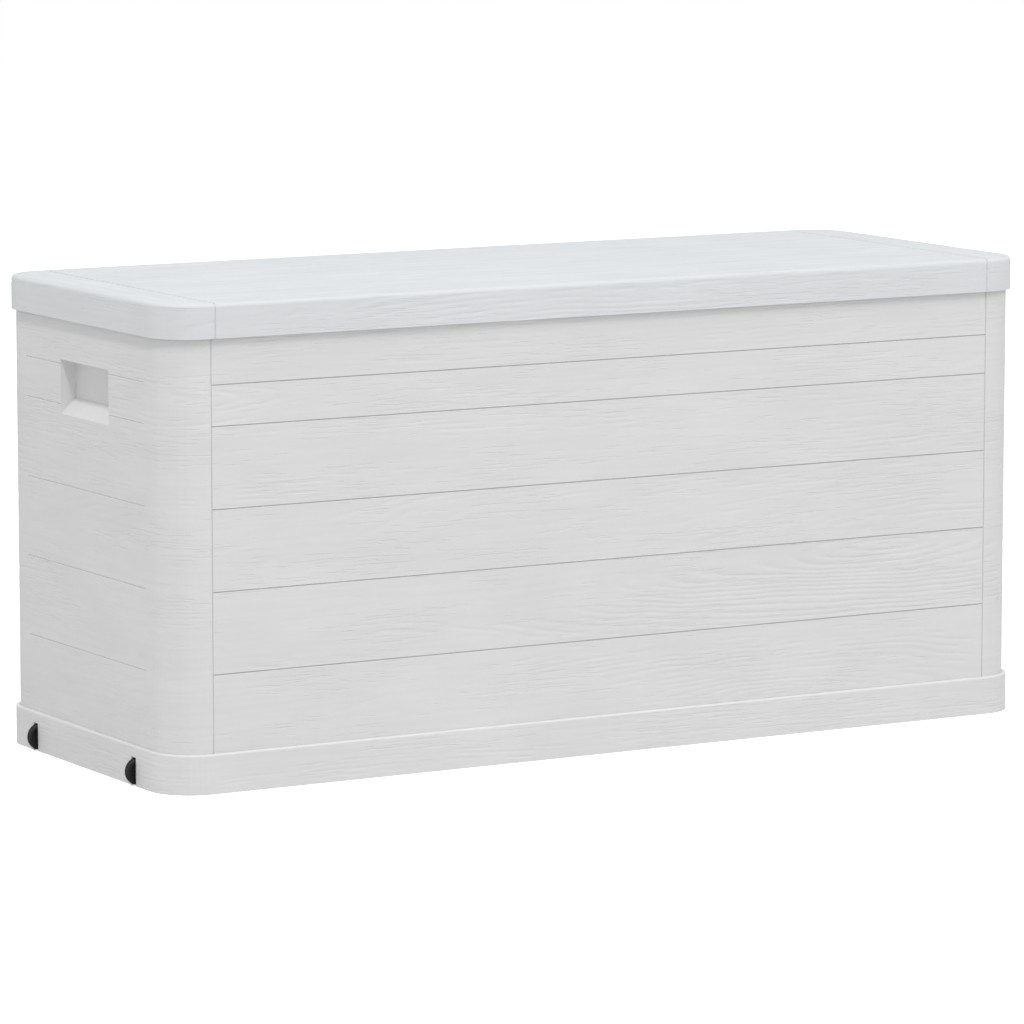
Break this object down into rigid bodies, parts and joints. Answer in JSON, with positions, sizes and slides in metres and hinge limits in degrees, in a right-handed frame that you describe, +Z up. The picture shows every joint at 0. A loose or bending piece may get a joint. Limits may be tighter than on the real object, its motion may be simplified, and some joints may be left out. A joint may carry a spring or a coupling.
{
  "type": "garden storage box",
  "caption": "Long resin garden storage box with plank-effect walls, a hinged lid, hand pockets in both ends and wheels at one end.",
  "frame": {"origin": "on the ground under the middle of the base, on the underside of the crossing centre ribs", "axes": "+X along the length, away from the wheels; +Y towards the hinges at the back; +Z up"},
  "size_m": [1.1796, 0.45, 0.56],
  "materials": {
    "white_resin": "satin moulded resin with embossed wood grain",
    "grey_resin": "plain moulded resin",
    "black_plastic": "satin black plastic",
    "steel": "zinc plated"
  },
  "bodies": {
    "box": {"base_tray": "white_resin", "front_panel": "white_resin", "rear_panel": "white_resin", "left_end_panel": "white_resin", "right_end_panel": "white_resin", "bracket_screws": "steel", "front_left_clips": "grey_resin", "rear_left_clips": "grey_resin", "front_right_clips": "grey_resin", "rear_right_clips": "grey_resin", "left_hinge_bracket": "grey_resin", "left_hinge_pin": "steel", "middle_hinge_bracket": "grey_resin", "middle_hinge_pin": "steel", "right_hinge_bracket": "grey_resin", "right_hinge_pin": "steel", "front_wheel_axle": "steel", "rear_wheel_axle": "steel"},
    "lid": {"lid": "white_resin", "leaf_screws": "steel", "left_hinge_leaf": "grey_resin", "middle_hinge_leaf": "grey_resin", "right_hinge_leaf": "grey_resin"},
    "front_wheel": {"front_wheel": "black_plastic"},
    "rear_wheel": {"rear_wheel": "black_plastic"}
  },
  "joints": [
    {"name": "lid_hinge", "type": "hinge", "parent": "box", "child": "lid", "pos_m": [0, 0.214, 0.513], "axis": [-1, 0, 0], "range_deg": [0, 95]},
    {"name": "front_wheel_spin", "type": "hinge", "parent": "box", "child": "front_wheel", "pos_m": [-0.5786, -0.13, 0.0164], "axis": [0, 1, 0], "continuous": true},
    {"name": "rear_wheel_spin", "type": "hinge", "parent": "box", "child": "rear_wheel", "pos_m": [-0.5786, 0.13, 0.0164], "axis": [0, 1, 0], "continuous": true}
  ]
}
